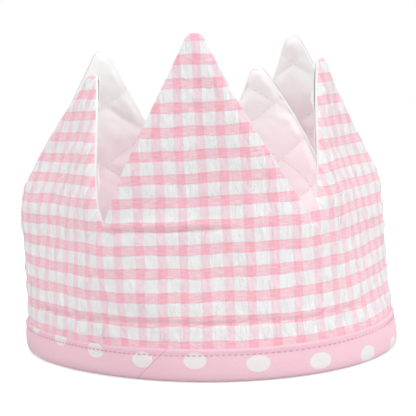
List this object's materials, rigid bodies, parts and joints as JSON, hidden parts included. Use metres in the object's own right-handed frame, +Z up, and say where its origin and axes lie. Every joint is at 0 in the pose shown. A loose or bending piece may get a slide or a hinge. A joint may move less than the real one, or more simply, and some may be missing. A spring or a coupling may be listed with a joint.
{
  "type": "padded cloth crown",
  "caption": "Child's dress-up crown of quilted gingham cloth with pointed top edge, white lining and dotted binding round the base.",
  "frame": {"origin": "middle of the bounding box at the bottom, on the surface that the crown stands on", "axes": "+Z up through the open crown, -Y out of its front point, +X to the right of someone who faces the front"},
  "size_m": [0.1724, 0.1595, 0.1419],
  "materials": {
    "gingham": "pink and white gingham cotton seersucker, matt and puckered",
    "wadding": "white polyester wadding",
    "lining": "white quilted cotton, matt",
    "binding": "pale pink cotton bias binding with white dots",
    "thread": "pink sewing thread",
    "tape": "white hook and loop tape"
  },
  "bodies": {
    "root": {"gingham_shell": "gingham", "wadding": "wadding", "quilted_lining": "lining", "brim_binding": "binding", "topstitch_outside": "thread", "topstitch_inside": "thread", "closure_loop_tape": "tape", "closure_hook_tape": "tape"}
  },
  "joints": []
}
